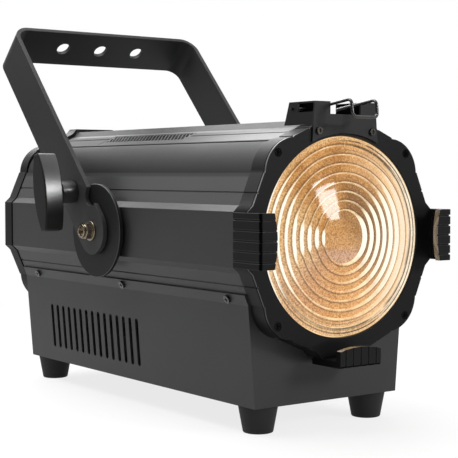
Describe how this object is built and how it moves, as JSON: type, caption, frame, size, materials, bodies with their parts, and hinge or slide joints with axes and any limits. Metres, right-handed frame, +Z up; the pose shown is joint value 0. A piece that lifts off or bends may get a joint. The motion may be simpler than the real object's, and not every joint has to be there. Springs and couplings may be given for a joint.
{
  "type": "fresnel spotlight",
  "caption": "Studio spotlight with a stepped lens in a ribbed tube housing on a vented base, accessory clips and latch round the lens, and a tilting yoke with clamp knobs.",
  "frame": {"origin": "on the floor under the middle of the bounding box", "axes": "+Z up, the lens looks along -Y, +X across the spotlight"},
  "size_m": [0.267, 0.4276, 0.3306],
  "materials": {
    "body_paint": "fine textured powder coat",
    "black_plastic": "moulded, fine grain",
    "black_steel": "black coated steel",
    "lens_glass": "moulded glass with stepped rings",
    "rubber": "moulded rubber",
    "zinc_steel": "zinc plated",
    "knob_plastic": "moulded, satin gloss",
    "bare_aluminium": "milled",
    "bush_brass": "turned",
    "engine_board": "white solder mask on a metal board",
    "dark_parts": "black coated",
    "fan_plastic": "moulded",
    "supply_case": "potted electronics",
    "display_plastic": "clear window over a dark display",
    "button_plastic": "moulded",
    "socket_plastic": "moulded"
  },
  "bodies": {
    "housing": {"housing_tube": "body_paint", "base_tray": "body_paint", "rear_panel": "body_paint", "latch_bracket": "body_paint", "vent_mesh_left": "body_paint", "vent_mesh_right": "body_paint", "front_bezel": "black_plastic", "clip_left": "black_plastic", "clip_right": "black_plastic", "clip_bottom": "black_plastic", "rear_cover": "black_plastic", "brake_disc_left": "black_steel", "brake_disc_right": "black_steel", "fresnel_lens": "lens_glass", "foot_front_left": "rubber", "foot_front_right": "rubber", "foot_rear_left": "rubber", "foot_rear_right": "rubber", "lens_gasket": "rubber", "corner_screws": "zinc_steel", "small_screws": "zinc_steel", "base_screws": "zinc_steel", "foot_screws": "zinc_steel", "retainer_screws": "zinc_steel", "pivot_bolt_left": "zinc_steel", "pivot_bolt_right": "zinc_steel", "pivot_washers": "zinc_steel", "pivot_nuts": "zinc_steel", "guide_rods": "zinc_steel", "safety_eye": "zinc_steel", "front_support": "bare_aluminium", "rear_support": "bare_aluminium", "lens_retainer": "bare_aluminium", "drive_motor": "dark_parts", "power_supply": "supply_case", "control_board": "supply_case", "display_window": "display_plastic", "power_inlet": "socket_plastic", "power_outlet": "socket_plastic", "signal_inlet": "socket_plastic", "signal_outlet": "socket_plastic"},
    "carriage": {"carriage": "bare_aluminium", "carriage_bushes": "bush_brass", "led_board": "engine_board", "reflector": "bare_aluminium", "heat_sink": "bare_aluminium", "fan_frame": "fan_plastic"},
    "fan_rotor": {"fan_rotor": "fan_plastic"},
    "lead_screw": {"lead_screw": "zinc_steel"},
    "yoke": {"yoke": "body_paint", "clamp_shoe_left": "black_steel", "clamp_shoe_right": "black_steel"},
    "knob_left": {"clamp_knob_left": "knob_plastic", "clamp_stud_left": "zinc_steel"},
    "knob_right": {"clamp_knob_right": "knob_plastic", "clamp_stud_right": "zinc_steel"},
    "latch_bail": {"latch_bail": "zinc_steel"},
    "button_1": {"menu_button_1": "button_plastic"},
    "button_2": {"menu_button_2": "button_plastic"},
    "button_3": {"menu_button_3": "button_plastic"}
  },
  "joints": [
    {"name": "yoke_tilt", "type": "hinge", "parent": "housing", "child": "yoke", "pos_m": [0, 0.01577, 0.147], "axis": [1, 0, 0], "range_deg": [-75, 75]},
    {"name": "knob_left_turn", "type": "hinge", "parent": "yoke", "child": "knob_left", "pos_m": [-0.101, 0.04583, 0.17913], "axis": [-1, 0, 0], "range_deg": [0, 540]},
    {"name": "knob_right_turn", "type": "hinge", "parent": "yoke", "child": "knob_right", "pos_m": [0.101, 0.04583, 0.17913], "axis": [1, 0, 0], "range_deg": [0, 540]},
    {"name": "bail_lift", "type": "hinge", "parent": "housing", "child": "latch_bail", "pos_m": [0, -0.16423, 0.2435], "axis": [-1, 0, 0], "range_deg": [-12, 88]},
    {"name": "focus_slide", "type": "slide", "parent": "housing", "child": "carriage", "axis": [0, -1, 0], "range_m": [-0.04, 0.05]},
    {"name": "screw_turn", "type": "hinge", "parent": "housing", "child": "lead_screw", "pos_m": [0, -0.03923, 0.085], "axis": [0, -1, 0], "range_deg": [-1810, 2260]},
    {"name": "fan_spin", "type": "hinge", "parent": "carriage", "child": "fan_rotor", "pos_m": [0, 0.02877, 0.147], "axis": [0, -1, 0], "continuous": true},
    {"name": "button_1_press", "type": "slide", "parent": "housing", "child": "button_1", "axis": [0, -1, 0], "range_m": [0, 0.0012], "stiffness_N_per_m": 600},
    {"name": "button_2_press", "type": "slide", "parent": "housing", "child": "button_2", "axis": [0, -1, 0], "range_m": [0, 0.0012], "stiffness_N_per_m": 600},
    {"name": "button_3_press", "type": "slide", "parent": "housing", "child": "button_3", "axis": [0, -1, 0], "range_m": [0, 0.0012], "stiffness_N_per_m": 600}
  ],
  "couplings": [
    {"joint": "screw_turn", "follows": "focus_slide", "rad_per_m": 785.4}
  ]
}
